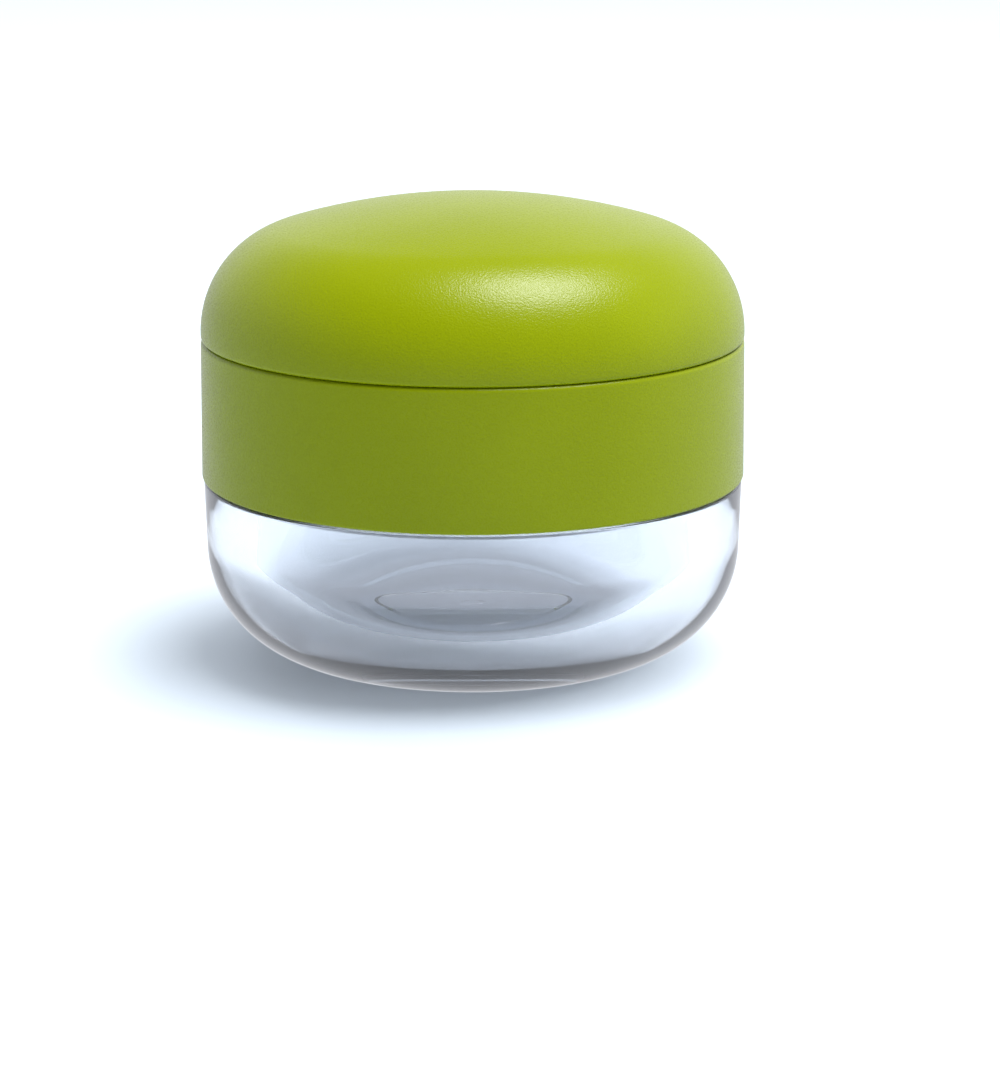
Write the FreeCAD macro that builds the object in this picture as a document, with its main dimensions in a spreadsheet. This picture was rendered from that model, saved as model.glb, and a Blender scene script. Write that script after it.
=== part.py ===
# Round pocket wet palette: a clear water bowl, a screwed collar that carries a sponge tray,
# and a domed plug-in lid.
# Millimetres, Z up. The origin is the centre of the foot, on the table.
import FreeCAD, Part
import math
import os
from enum import IntEnum

import Sketcher

# Driving dimensions
SIZES = {
    # outside form
    "body_diameter": 70.0,  # collar, at its lower edge
    "collar_draft": 0.2,  # the collar's radius is this much less at its top edge
    "bowl_height": 24.1,  # table to the bowl's shoulder
    "shoulder_inset": 0.23,  # bowl's shoulder inside the collar's lower edge
    "bowl_lean": 0.7,  # the bowl's wall leans in by this much over its height
    "bowl_corner": 14.4,
    "belly_radius": 113.0,  # the shallow dome of the underside
    "foot_diameter": 31.2,
    "recess_diameter": 26.4,
    "recess_depth": 0.6,
    "gate_diameter": 3.0,  # moulding gate, left in the recess
    "gate_height": 0.3,
    "lid_height": 17.9,
    "lid_widest_rise": 0.9,  # the lid is widest this far above its lower edge
    "crown_radius": 86.5,
    # bowl's inside, screw neck and collar
    "bowl_floor": 6.5,
    "cavity_draft": 0.6,
    "cavity_corner": 10.0,
    "neck_height": 9.0,
    "neck_wall": 2.4,
    "collar_wall": 2.8,
    "thread_room": 0.9,  # radial room for the screw thread
    "seam_gap": 0.2,  # collar's lower edge above the bowl's shoulder
    "gasket_thickness": 1.5,
    "gasket_inset": 0.2,
    "ledge_width": 5.8,
    "ledge_thickness": 1.6,
    # tray, sponge, paper and hoop
    "tray_wall": 1.2,
    "flange_thickness": 1.2,
    "tray_clearance": 0.4,
    "drain_diameter": 2.4,
    "drain_pitch": 6.0,
    "tab_height": 4.0,
    "tab_thickness": 1.0,
    "tab_width": 12.0,
    "tab_clearance": 0.7,
    "sponge_thickness": 7.0,
    "sponge_clearance": 0.3,
    "paper_thickness": 0.2,
    "paper_inset": 0.6,  # paper's edge inside the hoop's edge
    "hoop_height": 1.6,
    "hoop_lip": 0.2,  # hoop's reach over the sponge
    "hoop_clearance": 0.4,
    # lid
    "lid_wall": 2.2,
    "rim_wall": 1.5,
    "plug_depth": 4.0,
    "plug_gap": 0.7,  # plug above the tray's flange
    "plug_clearance": 0.4,
    "plug_wall": 1.9,
    "liner_clearance": 0.15,
    "liner_flange": 1.4,
    "liner_wall": 1.2,
    "liner_rise": 2.6,  # liner's ceiling above its own flange's seat
    "snap_bead": 0.25,
    "groove_depth": 0.9,
    "groove_height": 1.9,
    "seal_clearance": 0.1,
    # edge rounding
    "lid_edge": 0.6,
    "collar_edge": 0.35,
    "shoulder_edge": 0.4,
    "rim_edge": 0.6,
    "tray_edge": 0.8,
    "hoop_edge": 0.5,
    "sponge_edge": 0.6,
    "liner_edge": 0.9,
}

# Radii and heights that follow from the driving dimensions
LAYOUT = {
    "collar_foot_radius": "Sizes.body_diameter / 2",
    "collar_head_radius": "collar_foot_radius - Sizes.collar_draft",
    "shoulder_radius": "collar_foot_radius - Sizes.shoulder_inset",
    "bowl_base_radius": "shoulder_radius - Sizes.bowl_lean",
    "foot_radius": "Sizes.foot_diameter / 2",
    "recess_radius": "Sizes.recess_diameter / 2",
    "gate_radius": "Sizes.gate_diameter / 2",
    "socket_radius": "collar_foot_radius - Sizes.collar_wall",
    "neck_radius": "socket_radius - Sizes.thread_room",
    "mouth_radius": "neck_radius - Sizes.neck_wall",
    "cavity_radius": "mouth_radius - Sizes.cavity_draft",
    "gasket_radius": "neck_radius - Sizes.gasket_inset",
    "gasket_bore": "mouth_radius + Sizes.gasket_inset",
    "ledge_radius": "socket_radius - Sizes.ledge_width",
    "flange_radius": "socket_radius - Sizes.tray_clearance",
    "cup_radius": "ledge_radius - Sizes.tray_clearance",
    "well_radius": "cup_radius - Sizes.tray_wall",
    "drain_radius": "Sizes.drain_diameter / 2",
    "sponge_radius": "well_radius - Sizes.sponge_clearance",
    "plug_radius": "socket_radius - Sizes.plug_clearance",
    "plug_bore": "plug_radius - Sizes.plug_wall",
    "tab_radius": "plug_bore - Sizes.tab_clearance",
    "tab_bore": "tab_radius - Sizes.tab_thickness",
    "tab_angle": "2 * asin(Sizes.tab_width / 2 / tab_radius)",
    "hoop_radius": "tab_bore - Sizes.hoop_clearance",
    "hoop_bore": "well_radius - Sizes.hoop_lip",
    "paper_radius": "hoop_radius - Sizes.paper_inset",
    "rim_bore": "collar_head_radius - Sizes.rim_wall",
    "bead_radius": "rim_bore - Sizes.snap_bead",
    "liner_flange_radius": "rim_bore - Sizes.liner_clearance",
    "cap_radius": "plug_bore + Sizes.liner_wall",
    "groove_radius": "plug_radius - Sizes.groove_depth",
    "seal_section": "(socket_radius - groove_radius) / 2 - Sizes.seal_clearance",
    "seal_radius": "(socket_radius + groove_radius) / 2",
    "inner_crown_radius": "Sizes.crown_radius - Sizes.lid_wall",
    "gate_z": "Sizes.recess_depth - Sizes.gate_height",
    "collar_foot_z": "Sizes.bowl_height + Sizes.seam_gap",
    "neck_top_z": "Sizes.bowl_height + Sizes.neck_height",
    "ledge_under_z": "neck_top_z + Sizes.gasket_thickness",
    "ledge_top_z": "ledge_under_z + Sizes.ledge_thickness",
    "flange_top_z": "ledge_top_z + Sizes.flange_thickness",
    "tab_top_z": "flange_top_z + Sizes.tab_height",
    "tray_floor_z": "flange_top_z - Sizes.sponge_thickness",
    "tray_base_z": "tray_floor_z - Sizes.tray_wall",
    "paper_top_z": "flange_top_z + Sizes.paper_thickness",
    "hoop_top_z": "paper_top_z + Sizes.hoop_height",
    "plug_end_z": "flange_top_z + Sizes.plug_gap",
    "lid_seam_z": "plug_end_z + Sizes.plug_depth",
    "lid_widest_z": "lid_seam_z + Sizes.lid_widest_rise",
    "lid_top_z": "lid_seam_z + Sizes.lid_height",
    "bead_z": "lid_seam_z + Sizes.snap_bead",
    "liner_seat_z": "lid_seam_z + 2 * Sizes.snap_bead",
    "liner_stop_z": "liner_seat_z + Sizes.liner_flange",
    "ceiling_z": "liner_seat_z + Sizes.liner_rise",
    "cap_top_z": "ceiling_z + Sizes.liner_wall",
    "seal_z": "(plug_end_z + lid_seam_z) / 2",
    "groove_under_z": "seal_z - Sizes.groove_height / 2",
    "groove_top_z": "seal_z + Sizes.groove_height / 2",
}

FULL_TURN = 360
DRAIN_RINGS = 3  # rings of drain holes round the middle one
FIRST_RING_HOLES = 6
TAB_COUNT = 2
NEAR = 1e-4  # millimetres, for finding an edge by its place

AXIS = "on the axis"  # stands for a radius of zero
TABLE = "on the table"  # stands for a height of zero


# Numbers that a sketch gives to its own axes, and to the points of an edge
class Line(IntEnum):
    H_AXIS = -1
    V_AXIS = -2


class End(IntEnum):
    START = 1
    END = 2
    CENTRE = 3


ORIGIN, H_AXIS, V_AXIS = Line.H_AXIS, Line.H_AXIS, Line.V_AXIS
START, END, CENTRE = End.START, End.END, End.CENTRE

doc = FreeCAD.newDocument("wet_palette")


# Sheets
def fill_sheet(name, cells):
    sheet = doc.addObject("Spreadsheet::Sheet", name)
    for row, (alias, content) in enumerate(cells.items(), 1):
        sheet.set(f"A{row}", alias)
        sheet.set(f"B{row}", content)
        sheet.setAlias(f"B{row}", alias)
    doc.recompute()
    return sheet


sizes = fill_sheet("Sizes", {alias: str(number) for alias, number in SIZES.items()})
layout = fill_sheet("Layout", {alias: "=" + formula for alias, formula in LAYOUT.items()})


def cell(alias):
    return f"Sizes.{alias}" if alias in SIZES else f"Layout.{alias}"


def value(alias):
    number = getattr(sizes if alias in SIZES else layout, alias)
    return float(getattr(number, "Value", number))


# Sketches: a point is given by the names of its radius and its height
def point_at(radius, height):
    r = 0.0 if radius == AXIS else value(radius)
    z = 0.0 if height == TABLE else value(height)
    return FreeCAD.Vector(r, z, 0)


def new_sketch(body, name, plane):
    sketch = body.newObject("Sketcher::SketchObject", name)
    support = next(f for f in body.Origin.OriginFeatures if f.Role == plane)
    sketch.AttachmentSupport = (support, [""])
    sketch.MapMode = "FlatFace"
    return sketch


def tie(sketch, kind, *reference, to):
    index = sketch.addConstraint(Sketcher.Constraint(kind, *reference, value(to)))
    sketch.setExpression(f"Constraints[{index}]", cell(to))


def pin(sketch, edge, end, radius=None, height=None):
    if radius == AXIS:
        sketch.addConstraint(Sketcher.Constraint("PointOnObject", edge, end, V_AXIS))
    elif radius:
        tie(sketch, "DistanceX", ORIGIN, START, edge, end, to=radius)
    if height == TABLE:
        sketch.addConstraint(Sketcher.Constraint("PointOnObject", edge, end, H_AXIS))
    elif height:
        tie(sketch, "DistanceY", ORIGIN, START, edge, end, to=height)


def join(sketch, first, second, kind="Coincident"):
    sketch.addConstraint(Sketcher.Constraint(kind, *first, *second))


def add_line(sketch, start, end):
    return sketch.addGeometry(Part.LineSegment(start, end))


def add_arc(sketch, centre, radius, start_angle, end_angle):
    circle = Part.Circle(centre, FreeCAD.Vector(0, 0, 1), radius)
    return sketch.addGeometry(Part.ArcOfCircle(circle, start_angle, end_angle))


def add_chain(sketch, corners):
    points = [point_at(*corner) for corner in corners]
    lines = [add_line(sketch, start, end) for start, end in zip(points, points[1:])]
    for line, corner in zip(lines, corners):
        pin(sketch, line, START, *corner)
    pin(sketch, lines[-1], END, *corners[-1])
    for line, after in zip(lines, lines[1:]):
        join(sketch, (line, END), (after, START))
    return lines[0], lines[-1]


def add_outline(body, name, corners):
    sketch = new_sketch(body, name, "XZ_Plane")
    first, last = add_chain(sketch, corners)
    closing = add_line(sketch, point_at(*corners[-1]), point_at(*corners[0]))
    join(sketch, (last, END), (closing, START))
    join(sketch, (closing, END), (first, START))
    return sketch


# Features
def new_body(label):
    body = doc.addObject("PartDesign::Body", label)
    body.Label = label
    return body


def revolve(body, sketch, name):
    feature = body.newObject("PartDesign::Revolution", name)
    feature.Profile = sketch
    feature.ReferenceAxis = (sketch, ["V_Axis"])
    feature.Angle = FULL_TURN
    doc.recompute()
    return feature


def round_edges(body, name, size, *spots):
    # fillets the circular edges whose radius and height are those of the given points
    base = body.Tip
    edges = []
    for number, edge in enumerate(base.Shape.Edges, 1):
        if not edge.Degenerated and isinstance(edge.Curve, Part.Circle):
            place = FreeCAD.Vector(edge.Curve.Radius, edge.Curve.Center.z, 0)
            if any(place.distanceToPoint(spot) < NEAR for spot in spots):
                edges.append(f"Edge{number}")
    if len(edges) != len(spots):
        raise RuntimeError(f"{name}: {len(edges)} edges found, {len(spots)} expected")
    fillet = body.newObject("PartDesign::Fillet", name)
    fillet.Base = (base, edges)
    fillet.setExpression("Radius", cell(size))
    doc.recompute()


def turn_pattern(body, name, original, sketch, axis, count):
    pattern = body.newObject("PartDesign::PolarPattern", name)
    pattern.Originals = [original]
    pattern.Axis = (sketch, [axis])
    pattern.Angle = FULL_TURN
    pattern.Occurrences = count
    body.Tip = pattern
    doc.recompute()


# Clear bowl: the water well, with the neck that the collar screws on
def make_bowl():
    body = new_body("bowl")
    sketch = new_sketch(body, "bowl_section", "XZ_Plane")
    under, foot = add_chain(sketch, [
        (AXIS, "gate_z"),
        ("gate_radius", "gate_z"),
        ("gate_radius", "recess_depth"),
        ("recess_radius", "recess_depth"),
        ("recess_radius", TABLE),
        ("foot_radius", TABLE),
    ])
    shoulder, floor = add_chain(sketch, [
        ("shoulder_radius", "bowl_height"),
        ("neck_radius", "bowl_height"),
        ("neck_radius", "neck_top_z"),
        ("mouth_radius", "neck_top_z"),
        ("cavity_radius", "bowl_floor"),
        (AXIS, "bowl_floor"),
    ])
    middle = add_line(sketch, point_at(AXIS, "bowl_floor"), point_at(AXIS, "gate_z"))
    join(sketch, (floor, END), (middle, START))
    join(sketch, (middle, END), (under, START))
    # the belly is a shallow dome from the foot out to the wall
    dome = value("belly_radius")
    foot_angle = -math.acos(value("foot_radius") / dome)
    wall_angle = -math.acos(value("bowl_base_radius") / dome)
    centre = FreeCAD.Vector(0, -dome * math.sin(foot_angle), 0)
    belly = add_arc(sketch, centre, dome, foot_angle, wall_angle)
    pin(sketch, belly, CENTRE, AXIS)
    tie(sketch, "Radius", belly, to="belly_radius")
    join(sketch, (foot, END), (belly, START))
    # the wall runs from the shoulder towards the base radius on the table, which gives it its lean
    wall = add_line(sketch, sketch.Geometry[belly].EndPoint, point_at("shoulder_radius", "bowl_height"))
    aim = sketch.addGeometry(Part.Point(point_at("bowl_base_radius", TABLE)), True)
    pin(sketch, aim, START, "bowl_base_radius", TABLE)
    sketch.addConstraint(Sketcher.Constraint("PointOnObject", aim, START, wall))
    join(sketch, (belly, END), (wall, START))
    join(sketch, (wall, END), (shoulder, START))
    revolve(body, sketch, "bowl_turned")
    round_edges(body, "corner_round", "bowl_corner", sketch.Geometry[belly].EndPoint)
    round_edges(body, "cavity_round", "cavity_corner", point_at("cavity_radius", "bowl_floor"))
    rim = [point_at("neck_radius", "neck_top_z"), point_at("mouth_radius", "neck_top_z")]
    round_edges(body, "rim_round", "rim_edge", *rim)
    round_edges(body, "shoulder_round", "shoulder_edge", point_at("shoulder_radius", "bowl_height"))
    return body


# Flat ring between the bowl's rim and the collar's ledge
def make_bowl_gasket():
    body = new_body("bowl_gasket")
    section = add_outline(body, "gasket_section", [
        ("gasket_bore", "neck_top_z"),
        ("gasket_radius", "neck_top_z"),
        ("gasket_radius", "ledge_under_z"),
        ("gasket_bore", "ledge_under_z"),
    ])
    revolve(body, section, "gasket_turned")
    return body


# Collar: screws down over the neck, and its ledge carries the tray
def make_collar():
    body = new_body("collar")
    section = add_outline(body, "collar_section", [
        ("socket_radius", "collar_foot_z"),
        ("collar_foot_radius", "collar_foot_z"),
        ("collar_head_radius", "lid_seam_z"),
        ("socket_radius", "lid_seam_z"),
        ("socket_radius", "ledge_top_z"),
        ("ledge_radius", "ledge_top_z"),
        ("ledge_radius", "ledge_under_z"),
        ("socket_radius", "ledge_under_z"),
    ])
    revolve(body, section, "collar_turned")
    outer = [point_at("collar_foot_radius", "collar_foot_z"), point_at("collar_head_radius", "lid_seam_z")]
    inner = [point_at("socket_radius", "collar_foot_z"), point_at("socket_radius", "lid_seam_z")]
    round_edges(body, "collar_round", "collar_edge", *outer, *inner)
    return body


# Sponge tray: a perforated cup that hangs by its flange, with two tabs to lift it by
def make_sponge_tray():
    body = new_body("sponge_tray")
    section = add_outline(body, "tray_section", [
        (AXIS, "tray_base_z"),
        ("cup_radius", "tray_base_z"),
        ("cup_radius", "ledge_top_z"),
        ("flange_radius", "ledge_top_z"),
        ("flange_radius", "flange_top_z"),
        ("well_radius", "flange_top_z"),
        ("well_radius", "tray_floor_z"),
        (AXIS, "tray_floor_z"),
    ])
    revolve(body, section, "tray_turned")
    round_edges(body, "tray_round", "tray_edge", point_at("cup_radius", "tray_base_z"))
    add_drains(body)
    add_tabs(body)
    return body


def add_drains(body):
    for ring in range(DRAIN_RINGS + 1):
        sketch = new_sketch(body, f"drain_{ring}_section", "XY_Plane")
        distance = ring * value("drain_pitch")
        middle = FreeCAD.Vector(distance, 0, 0)
        hole = sketch.addGeometry(Part.Circle(middle, FreeCAD.Vector(0, 0, 1), value("drain_radius")))
        tie(sketch, "Radius", hole, to="drain_radius")
        sketch.addConstraint(Sketcher.Constraint("PointOnObject", hole, CENTRE, H_AXIS))
        if ring == 0:
            sketch.addConstraint(Sketcher.Constraint("PointOnObject", hole, CENTRE, V_AXIS))
        else:
            index = sketch.addConstraint(
                Sketcher.Constraint("DistanceX", ORIGIN, START, hole, CENTRE, distance)
            )
            sketch.setExpression(f"Constraints[{index}]", f"{ring} * Sizes.drain_pitch")
        before = body.Shape.Volume
        drain = body.newObject("PartDesign::Pocket", f"drain_{ring}")
        drain.Profile = sketch
        drain.Type = "ThroughAll"
        drain.Midplane = True
        doc.recompute()
        if body.Shape.Volume >= before:
            raise RuntimeError(f"{drain.Name} cuts nothing")
        if ring > 0:
            turn_pattern(body, f"drain_ring_{ring}", drain, sketch, "N_Axis", ring * FIRST_RING_HOLES)


def add_tabs(body):
    sketch = add_outline(body, "tab_section", [
        ("tab_bore", "ledge_top_z"),
        ("tab_radius", "ledge_top_z"),
        ("tab_radius", "tab_top_z"),
        ("tab_bore", "tab_top_z"),
    ])
    tab = body.newObject("PartDesign::Revolution", "tab")
    tab.Profile = sketch
    tab.ReferenceAxis = (sketch, ["V_Axis"])
    tab.Midplane = True
    tab.setExpression("Angle", "Layout.tab_angle")
    doc.recompute()
    turn_pattern(body, "tabs", tab, sketch, "V_Axis", TAB_COUNT)


# Sponge, flush with the top of the tray
def make_sponge():
    body = new_body("sponge")
    section = add_outline(body, "sponge_section", [
        (AXIS, "tray_floor_z"),
        ("sponge_radius", "tray_floor_z"),
        ("sponge_radius", "flange_top_z"),
        (AXIS, "flange_top_z"),
    ])
    revolve(body, section, "sponge_turned")
    edges = [point_at("sponge_radius", "tray_floor_z"), point_at("sponge_radius", "flange_top_z")]
    round_edges(body, "sponge_round", "sponge_edge", *edges)
    return body


# Palette paper, laid over the sponge and the tray's inner edge
def make_palette_paper():
    body = new_body("palette_paper")
    section = add_outline(body, "paper_section", [
        (AXIS, "flange_top_z"),
        ("paper_radius", "flange_top_z"),
        ("paper_radius", "paper_top_z"),
        (AXIS, "paper_top_z"),
    ])
    revolve(body, section, "paper_disc")
    return body


# Hoop that holds the paper's edge down
def make_paper_hoop():
    body = new_body("paper_hoop")
    section = add_outline(body, "hoop_section", [
        ("hoop_bore", "paper_top_z"),
        ("hoop_radius", "paper_top_z"),
        ("hoop_radius", "hoop_top_z"),
        ("hoop_bore", "hoop_top_z"),
    ])
    revolve(body, section, "hoop_turned")
    edges = [point_at("hoop_bore", "hoop_top_z"), point_at("hoop_radius", "hoop_top_z")]
    round_edges(body, "hoop_round", "hoop_edge", *edges)
    return body


# Domed lid: a wide crown and a tight side in tangent arcs, with a rebate for the liner's flange
def make_lid_shell():
    body = new_body("lid_shell")
    sketch = new_sketch(body, "lid_section", "XZ_Plane")
    widest = point_at("collar_head_radius", "lid_widest_z")
    top = point_at(AXIS, "lid_top_z")
    crown_radius = value("crown_radius")
    rise = top.y - widest.y
    side_radius = (2 * crown_radius * rise - rise**2 - widest.x**2) / (2 * (crown_radius - widest.x))
    side_centre = FreeCAD.Vector(widest.x - side_radius, widest.y, 0)
    crown_centre = FreeCAD.Vector(0, top.y - crown_radius, 0)
    meeting = math.atan2(side_centre.y - crown_centre.y, side_centre.x)

    def add_dome(wall, low):
        # side and crown of one face of the shell, meeting at a tangent; the side starts at the height low
        radius = side_radius - wall
        low_angle = -math.asin((widest.y - value(low)) / radius)
        side = add_arc(sketch, side_centre, radius, low_angle, meeting)
        crown = add_arc(sketch, crown_centre, crown_radius - wall, meeting, math.pi / 2)
        join(sketch, (side, END), (crown, START), "Tangent")
        pin(sketch, side, START, height=low)
        pin(sketch, crown, END, AXIS)
        return side, crown

    outer_side, outer_crown = add_dome(0.0, "lid_seam_z")
    inner_side, inner_crown = add_dome(value("lid_wall"), "liner_stop_z")
    join(sketch, (inner_side, CENTRE), (outer_side, CENTRE))
    join(sketch, (inner_crown, CENTRE), (outer_crown, CENTRE))
    pin(sketch, outer_crown, CENTRE, AXIS)
    pin(sketch, outer_crown, END, height="lid_top_z")
    tie(sketch, "Radius", outer_crown, to="crown_radius")
    tie(sketch, "Radius", inner_crown, to="inner_crown_radius")
    # the side passes through the widest point, level with its own centre
    bulge = sketch.addGeometry(Part.Point(widest), True)
    pin(sketch, bulge, START, "collar_head_radius", "lid_widest_z")
    pin(sketch, outer_side, CENTRE, height="lid_widest_z")
    sketch.addConstraint(Sketcher.Constraint("PointOnObject", bulge, START, outer_side))
    # lower edge, snap bead and rebate
    rim, rebate = add_chain(sketch, [
        ("rim_bore", "lid_seam_z"),
        ("bead_radius", "bead_z"),
        ("rim_bore", "liner_seat_z"),
        ("rim_bore", "liner_stop_z"),
    ])
    lip = add_line(sketch, sketch.Geometry[outer_side].StartPoint, point_at("rim_bore", "lid_seam_z"))
    stop = add_line(sketch, point_at("rim_bore", "liner_stop_z"), sketch.Geometry[inner_side].StartPoint)
    middle = add_line(sketch, sketch.Geometry[inner_crown].EndPoint, top)
    join(sketch, (outer_side, START), (lip, START))
    join(sketch, (lip, END), (rim, START))
    join(sketch, (rebate, END), (stop, START))
    join(sketch, (stop, END), (inner_side, START))
    join(sketch, (inner_crown, END), (middle, START))
    join(sketch, (middle, END), (outer_crown, END))
    revolve(body, sketch, "lid_turned")
    round_edges(body, "lid_round", "lid_edge", sketch.Geometry[outer_side].StartPoint)
    return body


# Lid liner: the inner cap, whose skirt plugs into the collar
def make_lid_liner():
    body = new_body("lid_liner")
    section = add_outline(body, "liner_section", [
        (AXIS, "ceiling_z"),
        ("plug_bore", "ceiling_z"),
        ("plug_bore", "plug_end_z"),
        ("plug_radius", "plug_end_z"),
        ("plug_radius", "groove_under_z"),
        ("groove_radius", "groove_under_z"),
        ("groove_radius", "groove_top_z"),
        ("plug_radius", "groove_top_z"),
        ("plug_radius", "liner_seat_z"),
        ("liner_flange_radius", "liner_seat_z"),
        ("liner_flange_radius", "liner_stop_z"),
        ("cap_radius", "liner_stop_z"),
        ("cap_radius", "cap_top_z"),
        (AXIS, "cap_top_z"),
    ])
    revolve(body, section, "liner_turned")
    edges = [point_at("plug_bore", "ceiling_z"), point_at("cap_radius", "cap_top_z")]
    round_edges(body, "liner_round", "liner_edge", *edges)
    return body


# Sealing ring in the plug's groove
def make_lid_seal():
    body = new_body("lid_seal")
    sketch = new_sketch(body, "seal_section", "XZ_Plane")
    middle = point_at("seal_radius", "seal_z")
    ring = sketch.addGeometry(Part.Circle(middle, FreeCAD.Vector(0, 0, 1), value("seal_section")))
    tie(sketch, "Radius", ring, to="seal_section")
    pin(sketch, ring, CENTRE, "seal_radius", "seal_z")
    revolve(body, sketch, "seal_turned")
    return body


bodies = [
    make_bowl(),
    make_bowl_gasket(),
    make_collar(),
    make_sponge_tray(),
    make_sponge(),
    make_palette_paper(),
    make_paper_hoop(),
    make_lid_shell(),
    make_lid_liner(),
    make_lid_seal(),
]
doc.recompute()

# Nothing is written unless every feature worked out and every piece is one sound solid
failed = [item.Label for item in doc.Objects if {"Invalid", "Error"} & set(item.State)]
if failed:
    raise RuntimeError("failed: " + ", ".join(failed))
for body in bodies:
    if body.Shape.isNull() or not body.Shape.isValid() or len(body.Shape.Solids) != 1:
        raise RuntimeError(f"{body.Label} is not one sound solid")

os.makedirs("parts", exist_ok=True)
for body in bodies:
    body.Shape.exportStep(f"parts/{body.Label}.step")
    print(f"{body.Label}: {body.Shape.Volume:.1f} mm3")
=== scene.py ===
import math

import bmesh
import bpy
from mathutils import Matrix, Vector, noise


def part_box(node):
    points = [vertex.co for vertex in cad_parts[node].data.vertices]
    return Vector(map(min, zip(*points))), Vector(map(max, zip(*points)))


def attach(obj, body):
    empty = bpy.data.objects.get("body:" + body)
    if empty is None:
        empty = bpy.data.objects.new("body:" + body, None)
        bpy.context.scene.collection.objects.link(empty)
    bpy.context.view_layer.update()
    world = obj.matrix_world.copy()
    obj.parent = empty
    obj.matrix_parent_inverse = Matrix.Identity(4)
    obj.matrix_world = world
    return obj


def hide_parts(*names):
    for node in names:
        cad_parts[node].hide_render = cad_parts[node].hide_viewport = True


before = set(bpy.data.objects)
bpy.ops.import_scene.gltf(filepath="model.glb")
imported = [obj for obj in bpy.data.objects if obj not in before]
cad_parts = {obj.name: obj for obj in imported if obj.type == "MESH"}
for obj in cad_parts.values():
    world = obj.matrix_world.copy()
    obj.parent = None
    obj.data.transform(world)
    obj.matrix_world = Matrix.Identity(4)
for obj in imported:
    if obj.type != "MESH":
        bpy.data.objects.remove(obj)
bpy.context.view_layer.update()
mm = 0.001
fullTurn = 2 * math.pi

# Mesh helpers, in metres
meshSettings = {"segments": 192, "fineSegments": 256, "roundSteps": 6, "fineSteps": 8,
                "mergeDistance": 0.002 * mm, "sharpDegrees": 38, "axisReach": 1e-9}


def arc(centre, radius, startDegrees, endDegrees, steps):
    angles = [math.radians(startDegrees + (endDegrees - startDegrees) * i / steps) for i in range(steps + 1)]
    return [(centre[0] + radius * math.cos(a), centre[1] + radius * math.sin(a)) for a in angles]


def rounded(corners, radii, steps=meshSettings["roundSteps"]):
    points = []
    count = len(corners)
    for index, corner in enumerate(corners):
        here = Vector(corner)
        before = (Vector(corners[index - 1]) - here).normalized()
        after = (Vector(corners[(index + 1) % count]) - here).normalized()
        radius = radii.get(index, 0.0)
        if radius == 0.0:
            points.append(tuple(here))
            continue
        half = before.angle(after) / 2
        centre = here + (before + after).normalized() * radius / math.sin(half)
        first = here + before * radius / math.tan(half) - centre
        last = here + after * radius / math.tan(half) - centre
        sweep = first.angle_signed(last)
        points += [tuple(centre + Matrix.Rotation(-sweep * i / steps, 2) @ first) for i in range(steps + 1)]
    return points


def addObject(name, mesh):
    piece = bpy.data.objects.new(name, mesh)
    bpy.context.scene.collection.objects.link(piece)
    return piece


def finishMesh(name, bm):
    bmesh.ops.remove_doubles(bm, verts=bm.verts, dist=meshSettings["mergeDistance"])
    bmesh.ops.recalc_face_normals(bm, faces=bm.faces)
    mesh = bpy.data.meshes.new(name)
    bm.to_mesh(mesh)
    bm.free()
    mesh.shade_smooth()
    mesh.set_sharp_from_angle(angle=math.radians(meshSettings["sharpDegrees"]))
    return addObject(name, mesh)


def spin(name, profile, segments=meshSettings["segments"]):
    onAxis = meshSettings["axisReach"]
    bm = bmesh.new()
    verts = [bm.verts.new((r, 0, z)) for r, z in profile]
    pairs = zip(verts, verts[1:] + verts[:1])
    edges = [bm.edges.new((a, b)) for a, b in pairs if not (a.co.x < onAxis and b.co.x < onAxis)]
    bmesh.ops.spin(bm, geom=verts + edges, cent=(0, 0, 0), axis=(0, 0, 1), angle=fullTurn, steps=segments,
                   use_merge=True)
    return finishMesh(name, bm)


def sweepRound(bm, section, turn, steps, rise=0.0):  # takes a section round the axis and closes its ends
    verts = [bm.verts.new(point) for point in section]
    edges = [bm.edges.new(pair) for pair in zip(verts, verts[1:] + verts[:1])]
    bmesh.ops.spin(bm, geom=verts + edges, cent=(0, 0, 0), axis=(0, 0, 1), dvec=(0, 0, rise / steps),
                   angle=turn, steps=steps)
    bmesh.ops.holes_fill(bm, edges=[edge for edge in bm.edges if edge.is_boundary])


def turned(radius, angle, height):
    return Vector((radius * math.cos(angle), radius * math.sin(angle), height))


# Material helpers
def linear(hexText, alpha=1.0):
    channels = [int(hexText[i:i + 2], 16) / 255 for i in (1, 3, 5)]
    return tuple(c / 12.92 if c <= 0.04045 else ((c + 0.055) / 1.055) ** 2.4 for c in channels) + (alpha,)


def addNode(tree, kind, links=None, stops=(), **settings):
    node = tree.nodes.new(kind)
    for key, setting in settings.items():
        if hasattr(node, key):
            setattr(node, key, setting)
        else:
            node.inputs[key.replace("_", " ")].default_value = setting
    for key, source in (links or {}).items():
        tree.links.new(source, node.inputs[key])
    for index, (position, colour) in enumerate(stops):
        node.color_ramp.elements[index].position = position
        node.color_ramp.elements[index].color = linear(colour)
    return node


def newMaterial(name, **surface):
    material = bpy.data.materials.new(name)
    material.use_nodes = True
    tree = material.node_tree
    shader = tree.nodes["Principled BSDF"]
    for key, setting in surface.items():
        shader.inputs[key.replace("_", " ")].default_value = setting
    where = addNode(tree, "ShaderNodeTexCoord").outputs["Object"]
    return material, tree, shader, where


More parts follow.
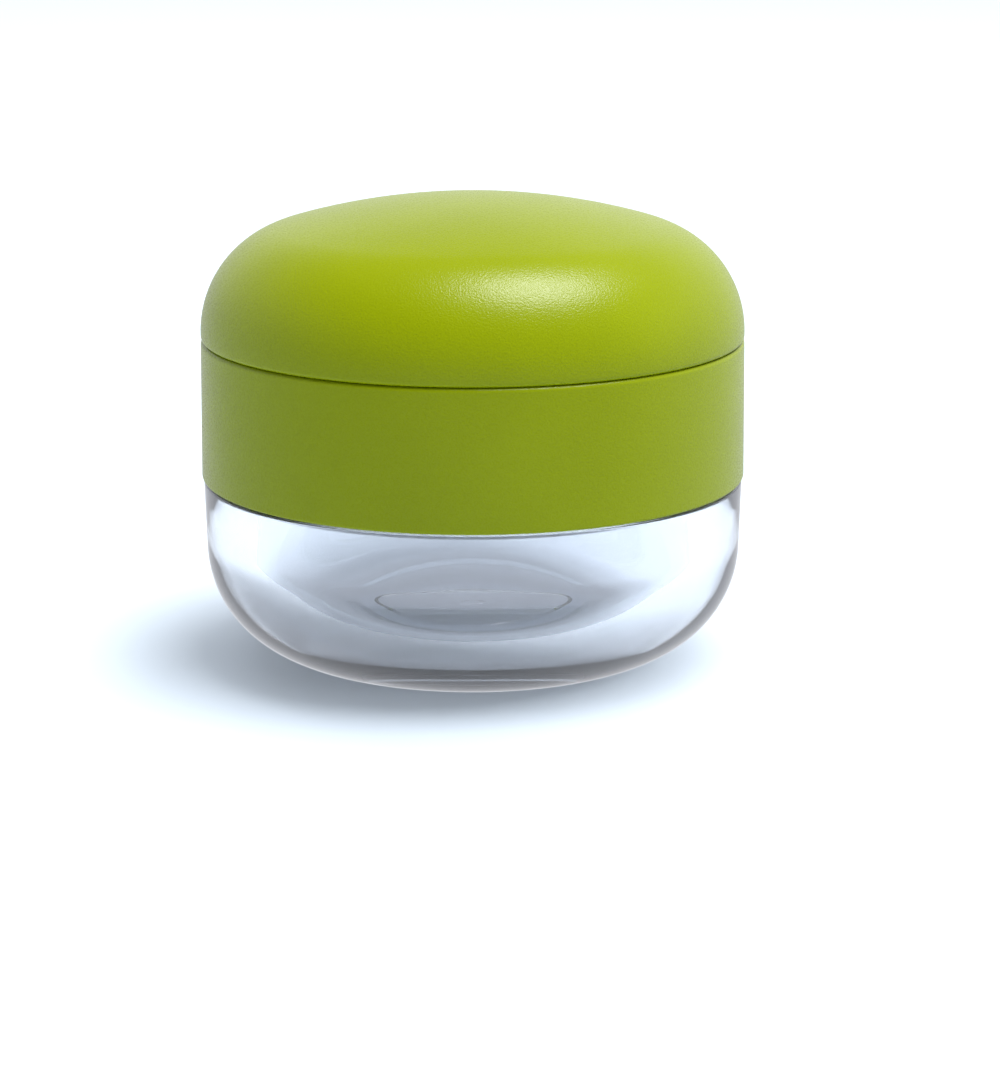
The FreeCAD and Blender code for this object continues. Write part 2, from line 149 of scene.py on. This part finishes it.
# Materials: patterns have real sizes, and mould grain and fibres too fine to show are drawn coarser
greenSettings = {"driftSize": 22.2 * mm, "grainSize": 0.238 * mm, "low": 0.22, "high": 0.34, "strength": 0.7,
                 "depth": 0.06 * mm, "specular": 0.23, "ior": 1.49,
                 "lidStops": [(0.3, "#859300"), (0.7, "#8B9900")],
                 "linerStops": [(0.3, "#A4B212"), (0.7, "#AEBD1E")]}


def greenPlastic(name, stops):  # satin polypropylene, spark-eroded mould, so its gloss is grainy
    g = greenSettings
    material, tree, shader, where = newMaterial(name, IOR=g["ior"], Specular_IOR_Level=g["specular"])
    drift = addNode(tree, "ShaderNodeTexNoise", {"Vector": where}, Scale=1 / g["driftSize"], Detail=3.0)
    colour = addNode(tree, "ShaderNodeValToRGB", {"Fac": drift.outputs["Fac"]}, stops=stops)
    tree.links.new(colour.outputs["Color"], shader.inputs["Base Color"])
    grain = addNode(tree, "ShaderNodeTexNoise", {"Vector": where}, Scale=1 / g["grainSize"],
                    Detail=1.0, Roughness=0.5)
    gloss = addNode(tree, "ShaderNodeMapRange", {"Value": grain.outputs["Fac"]},
                    To_Min=g["low"], To_Max=g["high"])
    tree.links.new(gloss.outputs["Result"], shader.inputs["Roughness"])
    bump = addNode(tree, "ShaderNodeBump", {"Height": grain.outputs["Fac"]}, Strength=g["strength"],
                   Distance=g["depth"])
    tree.links.new(bump.outputs["Normal"], shader.inputs["Normal"])
    return material


clearSettings = {"tint": "#F6F8FC", "waveSize": 16.7 * mm, "strength": 0.05, "depth": 0.1 * mm, "ior": 1.57,
                 "roughness": 0.015, "clarity": 0.96}


def clearPlastic():  # polished polystyrene, glassy, with the faint waviness of a moulding
    c = clearSettings
    material, tree, shader, where = newMaterial("clearPolystyrene", Base_Color=linear(c["tint"]),
                                                IOR=c["ior"], Roughness=c["roughness"],
                                                Transmission_Weight=c["clarity"])
    waves = addNode(tree, "ShaderNodeTexNoise", {"Vector": where}, Scale=1 / c["waveSize"], Detail=1.0)
    bump = addNode(tree, "ShaderNodeBump", {"Height": waves.outputs["Fac"]}, Strength=c["strength"],
                   Distance=c["depth"])
    tree.links.new(bump.outputs["Normal"], shader.inputs["Normal"])
    return material


whiteSettings = {"driftSize": 14.3 * mm, "grainSize": 0.417 * mm, "low": 0.34, "high": 0.5, "strength": 0.2,
                 "depth": 0.02 * mm, "glow": 0.15, "glowReach": (2 * mm, 2 * mm, 2 * mm), "ior": 1.49,
                 "stops": [(0.3, "#CDD0CB"), (0.7, "#DADCD7")]}


def whitePlastic():  # satin moulded polypropylene, which lets a little light in
    w = whiteSettings
    material, tree, shader, where = newMaterial("whitePolypropylene", IOR=w["ior"],
                                                Subsurface_Weight=w["glow"],
                                                Subsurface_Radius=w["glowReach"])
    drift = addNode(tree, "ShaderNodeTexNoise", {"Vector": where}, Scale=1 / w["driftSize"], Detail=3.0)
    colour = addNode(tree, "ShaderNodeValToRGB", {"Fac": drift.outputs["Fac"]}, stops=w["stops"])
    tree.links.new(colour.outputs["Color"], shader.inputs["Base Color"])
    grain = addNode(tree, "ShaderNodeTexNoise", {"Vector": where}, Scale=1 / w["grainSize"], Detail=2.0)
    gloss = addNode(tree, "ShaderNodeMapRange", {"Value": grain.outputs["Fac"]},
                    To_Min=w["low"], To_Max=w["high"])
    tree.links.new(gloss.outputs["Result"], shader.inputs["Roughness"])
    bump = addNode(tree, "ShaderNodeBump", {"Height": grain.outputs["Fac"]}, Strength=w["strength"],
                   Distance=w["depth"])
    tree.links.new(bump.outputs["Normal"], shader.inputs["Normal"])
    return material


siliconeSettings = {"cloudSize": 6.67 * mm, "low": 0.38, "high": 0.55, "clarity": 0.3, "ior": 1.41,
                    "stops": [(0.3, "#CFD6D3"), (0.7, "#E4EAE7")]}


def siliconeRubber():  # moulded silicone, cloudy and translucent
    s = siliconeSettings
    material, tree, shader, where = newMaterial("silicone", IOR=s["ior"], Transmission_Weight=s["clarity"])
    cloud = addNode(tree, "ShaderNodeTexNoise", {"Vector": where}, Scale=1 / s["cloudSize"], Detail=2.0)
    colour = addNode(tree, "ShaderNodeValToRGB", {"Fac": cloud.outputs["Fac"]}, stops=s["stops"])
    tree.links.new(colour.outputs["Color"], shader.inputs["Base Color"])
    gloss = addNode(tree, "ShaderNodeMapRange", {"Value": cloud.outputs["Fac"]},
                    To_Min=s["low"], To_Max=s["high"])
    tree.links.new(gloss.outputs["Result"], shader.inputs["Roughness"])
    return material


# the darker first stop colours the pore centres: painted shade in the pores
foamSettings = {"poreSize": 0.91 * mm, "strength": 0.7, "depth": 0.3 * mm, "glow": 0.25,
                "glowReach": (3 * mm, 2 * mm, 1 * mm), "roughness": 0.8,
                "stops": [(0.05, "#B98F2E"), (0.45, "#EACD74")]}


def spongeFoam():  # damp cellulose sponge, dull; its open pores are painted darker, as painted shade in the hollows
    f = foamSettings
    material, tree, shader, where = newMaterial("cellulose", Roughness=f["roughness"],
                                                Subsurface_Weight=f["glow"],
                                                Subsurface_Radius=f["glowReach"])
    pores = addNode(tree, "ShaderNodeTexVoronoi", {"Vector": where}, Scale=1 / f["poreSize"])
    # the pore centres, where the bump sinks, are painted darker: painted shade in the pores
    colour = addNode(tree, "ShaderNodeValToRGB", {"Fac": pores.outputs["Distance"]}, stops=f["stops"])
    tree.links.new(colour.outputs["Color"], shader.inputs["Base Color"])
    bump = addNode(tree, "ShaderNodeBump", {"Height": pores.outputs["Distance"]}, Strength=f["strength"],
                   Distance=f["depth"])
    tree.links.new(bump.outputs["Normal"], shader.inputs["Normal"])
    return material


parchmentSettings = {"dampSize": 9.1 * mm, "fibreSize": 0.556 * mm, "low": 0.4, "high": 0.7, "strength": 0.25,
                     "depth": 0.03 * mm, "glow": 0.2, "glowReach": (2 * mm, 2 * mm, 2 * mm),
                     "stops": [(0.35, "#E3DCC4"), (0.65, "#F3EFE2")]}


def paletteParchment():  # thin damp palette paper, blotched where the water comes through
    p = parchmentSettings
    material, tree, shader, where = newMaterial("parchment", Subsurface_Weight=p["glow"],
                                                Subsurface_Radius=p["glowReach"])
    damp = addNode(tree, "ShaderNodeTexNoise", {"Vector": where}, Scale=1 / p["dampSize"], Detail=4.0)
    colour = addNode(tree, "ShaderNodeValToRGB", {"Fac": damp.outputs["Fac"]}, stops=p["stops"])
    tree.links.new(colour.outputs["Color"], shader.inputs["Base Color"])
    fibres = addNode(tree, "ShaderNodeTexNoise", {"Vector": where}, Scale=1 / p["fibreSize"], Detail=3.0)
    gloss = addNode(tree, "ShaderNodeMapRange", {"Value": damp.outputs["Fac"]},
                    To_Min=p["low"], To_Max=p["high"])
    tree.links.new(gloss.outputs["Result"], shader.inputs["Roughness"])
    bump = addNode(tree, "ShaderNodeBump", {"Height": fibres.outputs["Fac"]}, Strength=p["strength"],
                   Distance=p["depth"])
    tree.links.new(bump.outputs["Normal"], shader.inputs["Normal"])
    return material


def place(piece, body, slot, material, *nodes):
    piece.data.materials.append(material)
    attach(piece, body)
    if nodes:
        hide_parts(*nodes)
    return piece


# Lid
shellSettings = {"crown": 86.5 * mm, "widestRise": 0.9 * mm, "wall": 2.2 * mm, "rim": 1.5 * mm,
                 "bead": 0.25 * mm, "flange": 1.4 * mm, "edge": 0.6 * mm, "steps": 32}


def domeCurve(wall, lowZ):
    s = shellSettings
    rise = at["top"] - at["seam"] - s["widestRise"]
    radius = at["headRadius"]
    side = (2 * s["crown"] * rise - rise ** 2 - radius ** 2) / (2 * (s["crown"] - radius))
    widestZ = at["seam"] + s["widestRise"]
    sideCentre = (radius - side, widestZ)
    crownCentre = (0.0, at["top"] - s["crown"])
    meeting = math.degrees(math.atan2(sideCentre[1] - crownCentre[1], sideCentre[0]))
    low = math.degrees(math.asin((lowZ - widestZ) / (side - wall)))
    sideCurve = arc(sideCentre, side - wall, low, meeting, s["steps"])
    return sideCurve + arc(crownCentre, s["crown"] - wall, meeting, 90, s["steps"])[1:]


def makeShell(material):
    s = shellSettings
    seat = at["seam"] + 2 * s["bead"]
    outer = domeCurve(0.0, at["seam"] + s["edge"])
    inner = domeCurve(s["wall"], seat + s["flange"])
    bore = at["headRadius"] - s["rim"]
    lip = arc((outer[0][0] - s["edge"], at["seam"] + s["edge"]), s["edge"], -90, 0, meshSettings["fineSteps"])
    rebate = [(bore, seat + s["flange"]), (bore, seat), (bore - s["bead"], at["seam"] + s["bead"]),
              (bore, at["seam"])]
    profile = lip + outer[1:] + inner[::-1] + rebate
    shell = spin("lidShell", profile, meshSettings["fineSegments"])
    place(shell, "lid", "green_plastic", material, "lid_shell")


linerSettings = {"plugWall": 1.9 * mm, "wall": 1.2 * mm, "flange": 1.4 * mm, "seatRise": 0.5 * mm,
                 "rise": 2.6 * mm, "grooveDepth": 0.9 * mm, "grooveHeight": 1.9 * mm, "edge": 0.9 * mm,
                 "clearance": 0.4 * mm, "flangeGap": 0.15 * mm, "innerLip": 0.5 * mm, "outerLip": 0.6 * mm,
                 "grooveEdge": 0.15 * mm}


def makeLiner(material):
    s = linerSettings
    seat = at["seam"] + s["seatRise"]
    ceiling = seat + s["rise"]
    middle = (at["plugEnd"] + at["seam"]) / 2
    grooveLow = middle - s["grooveHeight"] / 2
    grooveHigh = middle + s["grooveHeight"] / 2
    groove = at["plug"] - s["grooveDepth"]
    flangeRadius = at["headRadius"] - shellSettings["rim"] - s["flangeGap"]
    cap = at["plugBore"] + s["wall"]
    corners = [
        (0, ceiling), (at["plugBore"], ceiling), (at["plugBore"], at["plugEnd"]), (at["plug"], at["plugEnd"]),
        (at["plug"], grooveLow), (groove, grooveLow), (groove, grooveHigh), (at["plug"], grooveHigh),
        (at["plug"], seat), (flangeRadius, seat), (flangeRadius, seat + s["flange"]),
        (cap, seat + s["flange"]), (cap, ceiling + s["wall"]), (0, ceiling + s["wall"]),
    ]
    radii = {1: s["edge"], 2: s["innerLip"], 3: s["outerLip"], 4: s["grooveEdge"],
             7: s["grooveEdge"], 12: s["edge"]}
    place(spin("lidLiner", rounded(corners, radii)), "lid", "liner_plastic", material, "lid_liner")


sealSettings = {"steps": 24}


def makeSeal(material):
    low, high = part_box("lid_seal")
    radius = (high[2] - low[2]) / 2
    ring = arc((high[0] - radius, (low[2] + high[2]) / 2), radius, 0, 360, sealSettings["steps"])[:-1]
    place(spin("lidSeal", ring), "lid", "silicone", material, "lid_seal")


# Collar and bowl
threadSettings = {"lead": 6 * mm, "starts": 2, "turns": 0.8, "root": 1.3 * mm, "crest": 0.7 * mm,
                  "depth": 0.55 * mm, "sink": 0.04 * mm, "neckStart": 2.6 * mm, "socketStart": 1.1 * mm,
                  "steps": 120, "fade": 0.12}


def makeThread(name, radius, outward, startZ):
    s = threadSettings
    turn = fullTurn * s["turns"]
    outline = [(-s["sink"], -s["root"] / 2), (s["depth"], -s["crest"] / 2), (s["depth"], s["crest"] / 2),
               (-s["sink"], s["root"] / 2)]
    bm = bmesh.new()
    for start in range(s["starts"]):
        angle = fullTurn * start / s["starts"]
        earlier = set(bm.verts)
        section = [turned(radius + outward * d, angle, startZ + z) for d, z in outline]
        sweepRound(bm, section, turn, s["steps"], s["turns"] * s["lead"])
        for vertex in bm.verts:
            flat = vertex.co.to_2d()
            if vertex in earlier or outward * (flat.length - radius) < 0:
                continue
            share = (math.atan2(flat.y, flat.x) - angle) % fullTurn / turn
            swell = max(0.0, min(1.0, share / s["fade"], (1 - share) / s["fade"]))  # the ends run out
            vertex.co.xy = flat.normalized() * (radius + outward * s["depth"] * math.sqrt(swell))
    return finishMesh(name, bm)


collarSettings = {"radius": 35 * mm, "wall": 2.8 * mm, "draft": 0.2 * mm, "edge": 0.35 * mm,
                  "topEdge": 0.6 * mm, "ledgeWidth": 5.8 * mm, "ledge": 1.6 * mm, "ledgeEdge": 0.3 * mm}


def makeCollar(material):
    s = collarSettings
    corners = [
        (at["socket"], at["collarFoot"]), (s["radius"], at["collarFoot"]), (at["headRadius"], at["seam"]),
        (at["socket"], at["seam"]), (at["socket"], at["ledgeTop"]), (at["ledge"], at["ledgeTop"]),
        (at["ledge"], at["ledgeUnder"]), (at["socket"], at["ledgeUnder"]),
    ]
    radii = {0: s["edge"], 1: s["edge"], 2: s["topEdge"], 3: s["edge"], 5: s["ledgeEdge"], 6: s["ledgeEdge"]}
    outline = rounded(corners, radii, meshSettings["fineSteps"])
    ring = spin("collarRing", outline, meshSettings["fineSegments"])
    place(ring, "collar", "green_plastic", material, "collar")
    thread = makeThread("collarThread", at["socket"], -1, at["collarFoot"] + threadSettings["socketStart"])
    place(thread, "collar", "green_plastic", material)


bowlSettings = {"shoulder": 24.1 * mm, "inset": 0.23 * mm, "lean": 0.7 * mm, "corner": 14.4 * mm,
                "belly": 113 * mm, "foot": 15.6 * mm, "recess": 13.2 * mm, "recessDepth": 0.6 * mm,
                "recessEdge": 0.3 * mm, "gate": 1.5 * mm, "gateDepth": 0.3 * mm, "gateDraft": 0.1 * mm,
                "floor": 6.5 * mm, "draft": 0.6 * mm, "hollowCorner": 10 * mm, "hollowEase": 0.1 * mm,
                "neckWall": 2.4 * mm, "neckRoom": 0.9 * mm, "rimEdge": 0.6 * mm, "shoulderEdge": 0.4 * mm,
                "shoulderTrim": 0.01 * mm, "bellySteps": 24, "cornerSteps": 48, "hollowSteps": 40,
                "settle": 40}


def bowlOutline():
    s = bowlSettings
    shoulder = collarSettings["radius"] - s["inset"]
    mouth = at["neck"] - s["neckWall"]
    hollow = mouth - s["draft"]
    bellyZ = math.sqrt(s["belly"] ** 2 - s["foot"] ** 2)
    lean = math.atan(s["lean"] / s["shoulder"])
    cornerZ = s["corner"]
    for _ in range(s["settle"]):  # its centre lies a corner radius inside both the wall and the belly
        cornerR = shoulder - (s["shoulder"] - cornerZ) * math.tan(lean) - s["corner"] / math.cos(lean)
        cornerZ = bellyZ - math.sqrt((s["belly"] - s["corner"]) ** 2 - cornerR ** 2)
    meet = -math.degrees(math.atan2(bellyZ - cornerZ, cornerR))
    footAngle = -math.degrees(math.acos(s["foot"] / s["belly"]))
    outside = [(0, s["gateDepth"]), (s["gate"], s["gateDepth"]),
               (s["gate"] + s["gateDraft"], s["recessDepth"]),
               (s["recess"] - s["recessEdge"], s["recessDepth"]), (s["recess"], s["recessEdge"]),
               (s["recess"] + s["recessEdge"], 0), (s["foot"], 0)]
    outside += arc((0, bellyZ), s["belly"], footAngle, meet, s["bellySteps"])[1:]
    outside += arc((cornerR, cornerZ), s["corner"], meet, -math.degrees(lean), s["cornerSteps"])[1:]
    edge = s["shoulderEdge"]
    brow = (shoulder - edge - s["shoulderTrim"], s["shoulder"] - edge)
    outside += arc(brow, edge, 0, 90, meshSettings["fineSteps"])
    outside += [(at["neck"], s["shoulder"])]
    rim = s["rimEdge"]
    rimZ = at["neckTop"] - rim
    outside += arc((at["neck"] - rim, rimZ), rim, 0, 90, meshSettings["roundSteps"])
    inside = arc((mouth + rim, rimZ), rim, 90, 180, meshSettings["roundSteps"])
    corner = s["hollowCorner"]
    hollowCentre = (hollow - corner + s["hollowEase"], s["floor"] + corner)
    inside += arc(hollowCentre, corner, 0, -90, s["hollowSteps"])
    inside += [(0, s["floor"])]
    return outside + inside


def makeBowl(material):
    bowl = spin("clearBowl", bowlOutline(), meshSettings["fineSegments"])
    place(bowl, "bowl", "clear_polystyrene", material, "bowl")
    bowl.visible_shadow = False  # clear plastic lets the light through
    thread = makeThread("neckThread", at["neck"], 1, bowlSettings["shoulder"] + threadSettings["neckStart"])
    place(thread, "bowl", "clear_polystyrene", material)
    thread.visible_shadow = False


gasketSettings = {"edge": 0.25 * mm, "inset": 0.2 * mm}


def makeGasket(material):
    s = gasketSettings
    low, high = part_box("bowl_gasket")
    bore = at["neck"] - bowlSettings["neckWall"] + s["inset"]
    outer = at["neck"] - s["inset"]
    corners = [(bore, low[2]), (outer, low[2]), (outer, high[2]), (bore, high[2])]
    radii = {i: s["edge"] for i in range(len(corners))}
    place(spin("bowlGasket", rounded(corners, radii)), "gasket", "silicone", material, "bowl_gasket")


# Tray and what lies in it
traySettings = {"wall": 1.2 * mm, "flange": 1.2 * mm, "edge": 0.8 * mm, "flangeEdge": 0.3 * mm,
                "wellEdge": 0.25 * mm, "clearance": 0.4 * mm, "drain": 1.2 * mm, "drainSegments": 24,
                "pitch": 6 * mm, "rings": 3, "firstRing": 6}


def drainPlaces():
    s = traySettings
    places = [(0.0, 0.0)]
    for ring in range(1, s["rings"] + 1):
        count = ring * s["firstRing"]
        angles = [fullTurn * i / count for i in range(count)]
        places += [(ring * s["pitch"] * math.cos(a), ring * s["pitch"] * math.sin(a)) for a in angles]
    return places


def cutDrains(tray):
    s = traySettings
    cutter = bmesh.new()
    for x, y in drainPlaces():
        middle = Matrix.Translation((x, y, at["trayBase"] + s["wall"] / 2))
        bmesh.ops.create_cone(cutter, cap_ends=True, segments=s["drainSegments"], radius1=s["drain"],
                              radius2=s["drain"], depth=3 * s["wall"], matrix=middle)
    drains = finishMesh("drainCutter", cutter)
    cut = tray.modifiers.new("drains", "BOOLEAN")
    cut.object = drains
    cut.solver = "MANIFOLD"
    bpy.context.view_layer.update()
    graph = bpy.context.evaluated_depsgraph_get()
    tray.data = bpy.data.meshes.new_from_object(tray.evaluated_get(graph))
    tray.modifiers.clear()
    bpy.data.objects.remove(drains)
    tray.data.set_sharp_from_angle(angle=math.radians(meshSettings["sharpDegrees"]))


def makeTray(material):
    s = traySettings
    floor = at["trayBase"] + s["wall"]
    flange = at["socket"] - s["clearance"]
    corners = [
        (0, at["trayBase"]), (at["cup"], at["trayBase"]), (at["cup"], at["ledgeTop"]),
        (flange, at["ledgeTop"]), (flange, at["flangeTop"]), (at["well"], at["flangeTop"]),
        (at["well"], floor), (0, floor),
    ]
    radii = {1: s["edge"], 3: s["flangeEdge"], 4: s["flangeEdge"], 5: s["wellEdge"]}
    tray = spin("spongeTray", rounded(corners, radii))
    cutDrains(tray)
    place(tray, "tray", "white_plastic", material, "sponge_tray")
    makeTabs(material)


tabSettings = {"height": 4 * mm, "wall": 1.0 * mm, "width": 12 * mm, "gap": 0.7 * mm, "sink": 0.2 * mm,
               "drop": 1.2 * mm, "dropPower": 6, "steps": 20}


def makeTabs(material):
    s = tabSettings
    outer = at["plugBore"] - s["gap"]
    inner = outer - s["wall"]
    half = math.asin(s["width"] / 2 / outer)
    top = at["flangeTop"] + s["height"]
    bottom = at["flangeTop"] - s["sink"]
    outline = [(inner, bottom), (outer, bottom), (outer, top), (inner, top)]
    bm = bmesh.new()
    for side in (0.0, math.pi):
        section = [turned(r, side - half, z) for r, z in outline]
        sweepRound(bm, section, 2 * half, s["steps"])
    for vertex in bm.verts:
        if vertex.co.z > at["flangeTop"]:
            share = math.atan2(vertex.co.y, abs(vertex.co.x)) / half
            vertex.co.z = top - s["drop"] * abs(share) ** s["dropPower"]
    place(finishMesh("liftTabs", bm), "tray", "white_plastic", material)


spongeSettings = {"edge": 0.6 * mm, "edgeSteps": 4, "rings": 90, "sideRows": 24, "segments": 220,
                  "poreScale": 900.0, "poreDepth": 0.28 * mm, "fill": 0.9}


def makeSponge(material):
    s = spongeSettings
    low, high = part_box("sponge")
    radius = high[0]
    edge = s["edge"]
    side = high[2] - low[2] - 2 * edge
    flat = [radius * i / s["rings"] for i in range(s["rings"]) if radius * i / s["rings"] < radius - edge]
    outline = [(r, high[2]) for r in flat]
    outline += arc((radius - edge, high[2] - edge), edge, 90, 0, s["edgeSteps"])
    outline += [(radius, high[2] - edge - side * i / s["sideRows"]) for i in range(1, s["sideRows"])]
    outline += arc((radius - edge, low[2] + edge), edge, 0, -90, s["edgeSteps"])
    outline += [(r, low[2]) for r in reversed(flat)]
    sponge = spin("spongePad", outline, s["segments"])
    normals = [vertex.normal.copy() for vertex in sponge.data.vertices]
    for vertex, normal in zip(sponge.data.vertices, normals):  # pores sink in, so it stays within its solid
        hole = noise.noise(vertex.co * s["poreScale"]) * 0.5 + 0.5
        vertex.co -= normal * s["poreDepth"] * hole ** 2
    place(sponge, "tray", "sponge", material, "sponge")


paperSettings = {"thickness": 0.08 * mm, "lift": 0.02 * mm, "cockle": 0.05 * mm, "cockleScale": 120.0,
                 "rings": 40, "segments": 160}


def makePaper(material):
    s = paperSettings
    low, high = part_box("palette_paper")
    radius = high[0]
    base = low[2] + s["lift"]
    profile = [(radius * i / s["rings"], base + s["thickness"]) for i in range(s["rings"] + 1)]
    profile += [(r, base) for r, z in reversed(profile)]
    paper = spin("palettePaper", profile, s["segments"])
    for vertex in paper.data.vertices:
        wave = noise.noise(Vector((vertex.co.x, vertex.co.y, 0)) * s["cockleScale"]) * 0.5 + 0.5
        vertex.co.z += s["cockle"] * wave
    place(paper, "tray", "paper", material, "palette_paper")


hoopSettings = {"edge": 0.5 * mm, "footEdge": 0.2 * mm, "overhang": 0.2 * mm}


def makeHoop(material):
    s = hoopSettings
    low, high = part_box("paper_hoop")
    bore = at["well"] - s["overhang"]
    corners = [(bore, low[2]), (high[0], low[2]), (high[0], high[2]), (bore, high[2])]
    radii = {0: s["footEdge"], 1: s["footEdge"], 2: s["edge"], 3: s["edge"]}
    place(spin("paperHoop", rounded(corners, radii)), "hoop", "white_plastic", material, "paper_hoop")


# Shared heights and radii, from the frame
def frameSizes():
    shellLow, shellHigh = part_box("lid_shell")
    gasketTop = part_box("bowl_gasket")[1][2]
    ledgeTop = gasketTop + collarSettings["ledge"]
    socket = collarSettings["radius"] - collarSettings["wall"]
    ledge = socket - collarSettings["ledgeWidth"]
    plug = socket - linerSettings["clearance"]
    cup = ledge - traySettings["clearance"]
    return {
        "seam": shellLow[2], "top": shellHigh[2],
        "headRadius": collarSettings["radius"] - collarSettings["draft"],
        "collarFoot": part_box("collar")[0][2], "socket": socket, "ledge": ledge, "ledgeUnder": gasketTop,
        "ledgeTop": ledgeTop, "flangeTop": ledgeTop + traySettings["flange"],
        "neckTop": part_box("bowl")[1][2], "neck": socket - bowlSettings["neckRoom"],
        "plugEnd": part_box("lid_liner")[0][2], "plug": plug, "plugBore": plug - linerSettings["plugWall"],
        "trayBase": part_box("sponge_tray")[0][2], "cup": cup, "well": cup - traySettings["wall"],
    }


# Stage
floorSettings = {"reach": 6.0, "colour": "#A8B2BC", "roughness": 0.9, "glow": "#E4ECF8", "glowStrength": 0.12}


def makeFloor():
    s = floorSettings
    bm = bmesh.new()
    bmesh.ops.create_grid(bm, x_segments=1, y_segments=1, size=s["reach"])
    floor = finishMesh("floor", bm)
    material = newMaterial("paleFloor", Base_Color=linear(s["colour"]), Roughness=s["roughness"],
                           Emission_Color=linear(s["glow"]), Emission_Strength=s["glowStrength"])[0]
    floor.data.materials.append(material)
    floor.visible_glossy = False
    return floor


def addLamp(light, spot, target):
    lamp = bpy.data.objects.new(light.name, light)
    lamp.location = spot
    lamp.rotation_euler = (Vector(target) - Vector(spot)).to_track_quat("-Z", "Y").to_euler()
    bpy.context.scene.collection.objects.link(lamp)
    return lamp


keySettings = {"power": 5.2, "spread": 34, "place": (0.29, -0.065, 0.955)}


def addKey():
    key = bpy.data.lights.new("overheadSoftbox", "SUN")
    key.energy = keySettings["power"]
    key.angle = math.radians(keySettings["spread"])
    addLamp(key, keySettings["place"], (0, 0, 0))


fillSettings = {"reach": 0.25, "depth": 0.45, "height": 0.9, "width": 0.4, "tall": 0.6, "power": 3.5,
                "aim": (0, 0, 0.035)}


def addFill(spot, lit):
    s = fillSettings
    fill = bpy.data.lights.new("floorSoftbox", "AREA")
    fill.shape = "RECTANGLE"
    fill.size = s["width"]
    fill.size_y = s["tall"]
    fill.energy = s["power"]
    lamp = addLamp(fill, spot, s["aim"])
    lamp.visible_glossy = False
    lamp.visible_transmission = False
    lamp.light_linking.receiver_collection = lit  # it lights the floor round the jar, and nothing else


roomSettings = {"sky": "#F1F3FA", "frontY": -0.8, "backY": 0.35, "front": 0.25, "back": 1.0, "wallZ": 0.3,
                "ceilingZ": 0.8, "ceiling": 0.2}


def makeRoom():
    s = roomSettings
    world = bpy.data.worlds.new("studio")
    bpy.context.scene.world = world
    world.use_nodes = True
    tree = world.node_tree
    sky = tree.nodes["Background"]
    sky.inputs["Color"].default_value = linear(s["sky"])
    way = addNode(tree, "ShaderNodeTexCoord").outputs["Generated"]
    parts = addNode(tree, "ShaderNodeSeparateXYZ", {"Vector": way}).outputs
    wall = addNode(tree, "ShaderNodeMapRange", {"Value": parts["Y"]}, interpolation_type="SMOOTHSTEP",
                   From_Min=s["frontY"], From_Max=s["backY"], To_Min=s["front"], To_Max=s["back"])
    roof = addNode(tree, "ShaderNodeMapRange", {"Value": parts["Z"]}, interpolation_type="SMOOTHSTEP",
                   From_Min=s["wallZ"], From_Max=s["ceilingZ"], To_Min=1.0, To_Max=s["ceiling"])
    room = addNode(tree, "ShaderNodeMath", {0: wall.outputs["Result"], 1: roof.outputs["Result"]},
                   operation="MULTIPLY")  # darker in front and towards the ceiling
    seen = addNode(tree, "ShaderNodeLightPath").outputs["Is Camera Ray"]
    shown = addNode(tree, "ShaderNodeMath", {0: room.outputs["Value"], 1: seen}, operation="MAXIMUM")
    tree.links.new(shown.outputs["Value"], sky.inputs["Strength"])


def makeLights(floor):
    s = fillSettings
    addKey()
    lit = bpy.data.collections.new("floorLit")
    lit.objects.link(floor)
    for x in (-s["reach"], s["reach"]):
        for y in (-s["depth"], s["depth"]):
            addFill((x, y, s["height"]), lit)
    makeRoom()


photoView = {"width": 1000, "height": 1089, "focal": 3160.7, "axisX": 472.4, "distance": 400 * mm,
             "eye": 115.66 * mm, "pitch": 14.21, "sensor": 36.0, "near": 10 * mm, "far": 20.0}


def makeCamera():
    v = photoView
    camera = bpy.data.cameras.new("photoCamera")
    camera.sensor_fit = "AUTO"
    camera.sensor_width = v["sensor"]
    camera.lens = v["focal"] * v["sensor"] / max(v["width"], v["height"])
    camera.clip_start = v["near"]
    camera.clip_end = v["far"]
    eye = bpy.data.objects.new("photoCamera", camera)
    yaw = math.atan((v["width"] / 2 - v["axisX"]) / v["focal"])
    eye.location = (0, -v["distance"], v["eye"])
    eye.rotation_euler = (math.pi / 2 - math.radians(v["pitch"]), 0, -yaw)
    bpy.context.scene.collection.objects.link(eye)
    bpy.context.scene.camera = eye


at = frameSizes()
lidGreen = greenPlastic("greenPolypropylene", greenSettings["lidStops"])
linerGreen = greenPlastic("linerPolypropylene", greenSettings["linerStops"])
clear = clearPlastic()
white = whitePlastic()
silicone = siliconeRubber()
print("materials made")
makeShell(lidGreen)
makeLiner(linerGreen)
makeSeal(silicone)
print("lid made")
makeCollar(lidGreen)
makeBowl(clear)
makeGasket(silicone)
print("collar and bowl made")
makeTray(white)
makeSponge(spongeFoam())
makePaper(paletteParchment())
makeHoop(white)
print("tray made")
makeLights(makeFloor())
makeCamera()
bpy.context.scene.view_settings.view_transform = "Standard"
print("stage made")
